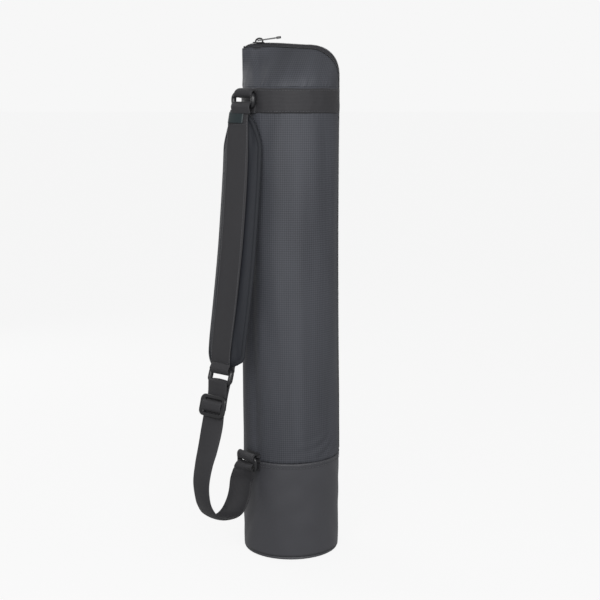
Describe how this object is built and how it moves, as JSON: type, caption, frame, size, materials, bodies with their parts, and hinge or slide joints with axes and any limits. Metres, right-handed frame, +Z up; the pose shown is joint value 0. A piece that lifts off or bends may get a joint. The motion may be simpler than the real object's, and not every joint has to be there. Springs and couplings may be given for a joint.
{
  "type": "drawing tube",
  "caption": "Soft padded cylindrical carrying tube with a zip over the top and down the side, a coated boot and a shoulder strap with pad, rings and adjuster.",
  "frame": {"origin": "centre of the flat base, on the surface it stands on", "axes": "+Z up along the tube, +X toward the side zip, -Y toward the front, with the strap between -X and -Y"},
  "size_m": [0.1871, 0.1761, 0.6759],
  "materials": {
    "tube_fabric": "woven grid polyester, matt",
    "boot_fabric": "smooth coated polyester, satin",
    "webbing": "ribbed polypropylene webbing, matt",
    "pad_fabric": "knitted padding cloth, matt",
    "lining": "thin lining cloth",
    "foam": "soft closed-cell foam",
    "board": "stiff sheet",
    "plastic": "moulded, slightly glossy",
    "zip_tape": "woven zip tape and nylon coil",
    "zip_metal": "black lacquered metal",
    "label": "soft label, blank"
  },
  "bodies": {
    "bag": {"front_panel": "tube_fabric", "front_foam": "foam", "front_lining": "lining", "back_panel": "tube_fabric", "back_foam": "foam", "back_lining": "lining", "back_top_panel": "tube_fabric", "back_top_foam": "foam", "back_top_lining": "lining", "boot_panel": "boot_fabric", "band_webbing": "webbing", "upper_anchor_patch": "webbing", "lower_anchor_patch": "webbing", "base_panel": "boot_fabric", "base_foam": "foam", "base_board": "board", "base_lining": "lining", "base_piping": "boot_fabric", "zip_tape_front_side": "zip_tape", "zip_tape_back": "zip_tape", "zip_coil_front_side": "zip_tape", "zip_coil_back": "zip_tape", "zip_stop_left": "zip_metal", "zip_stop_lower": "zip_metal"},
    "crown_flap": {"front_top_panel": "tube_fabric", "front_top_foam": "foam", "front_top_lining": "lining", "zip_tape_front_top": "zip_tape", "zip_coil_front_top": "zip_tape"},
    "zip_slider": {"slider_body": "zip_metal", "slider_bridge": "zip_metal"},
    "zip_pull": {"pull_tab": "zip_metal", "pull_grip": "plastic"},
    "strap": {"upper_ring": "plastic", "lower_ring": "plastic", "pad_ring": "plastic", "upper_anchor_tab": "webbing", "lower_anchor_tab": "webbing", "pad_upper_tab": "webbing", "pad_lower_tab": "webbing", "pad_face_webbing": "webbing", "pad_foam": "foam", "pad_backing": "pad_fabric", "pad_label": "label", "strap_webbing": "webbing"},
    "adjuster": {"adjuster_frame": "plastic", "adjuster_webbing": "webbing"}
  },
  "joints": [
    {"name": "mouth_open", "type": "hinge", "parent": "bag", "child": "crown_flap", "pos_m": [0, -0.0613, 0.612], "axis": [1, 0, 0], "range_deg": [0, 40], "deforming": ["zip_tape_front_top", "zip_coil_front_top"]},
    {"name": "zip_slide", "type": "slide", "parent": "bag", "child": "zip_slider", "axis": [1, 0, 0], "range_m": [0, 0.055]},
    {"name": "pull_tab_swing", "type": "hinge", "parent": "zip_slider", "child": "zip_pull", "pos_m": [-0.041, 0, 0.6706], "axis": [0, -1, 0], "range_deg": [0, 150]},
    {"name": "strap_swing", "type": "hinge", "parent": "bag", "child": "strap", "pos_m": [-0.052, -0.0325, 0.35], "axis": [0, 0, -1], "range_deg": [0, 34]},
    {"name": "adjuster_slide", "type": "slide", "parent": "strap", "child": "adjuster", "axis": [-0.1715, -0.2043, -0.9638], "range_m": [-0.003, 0.02]}
  ]
}
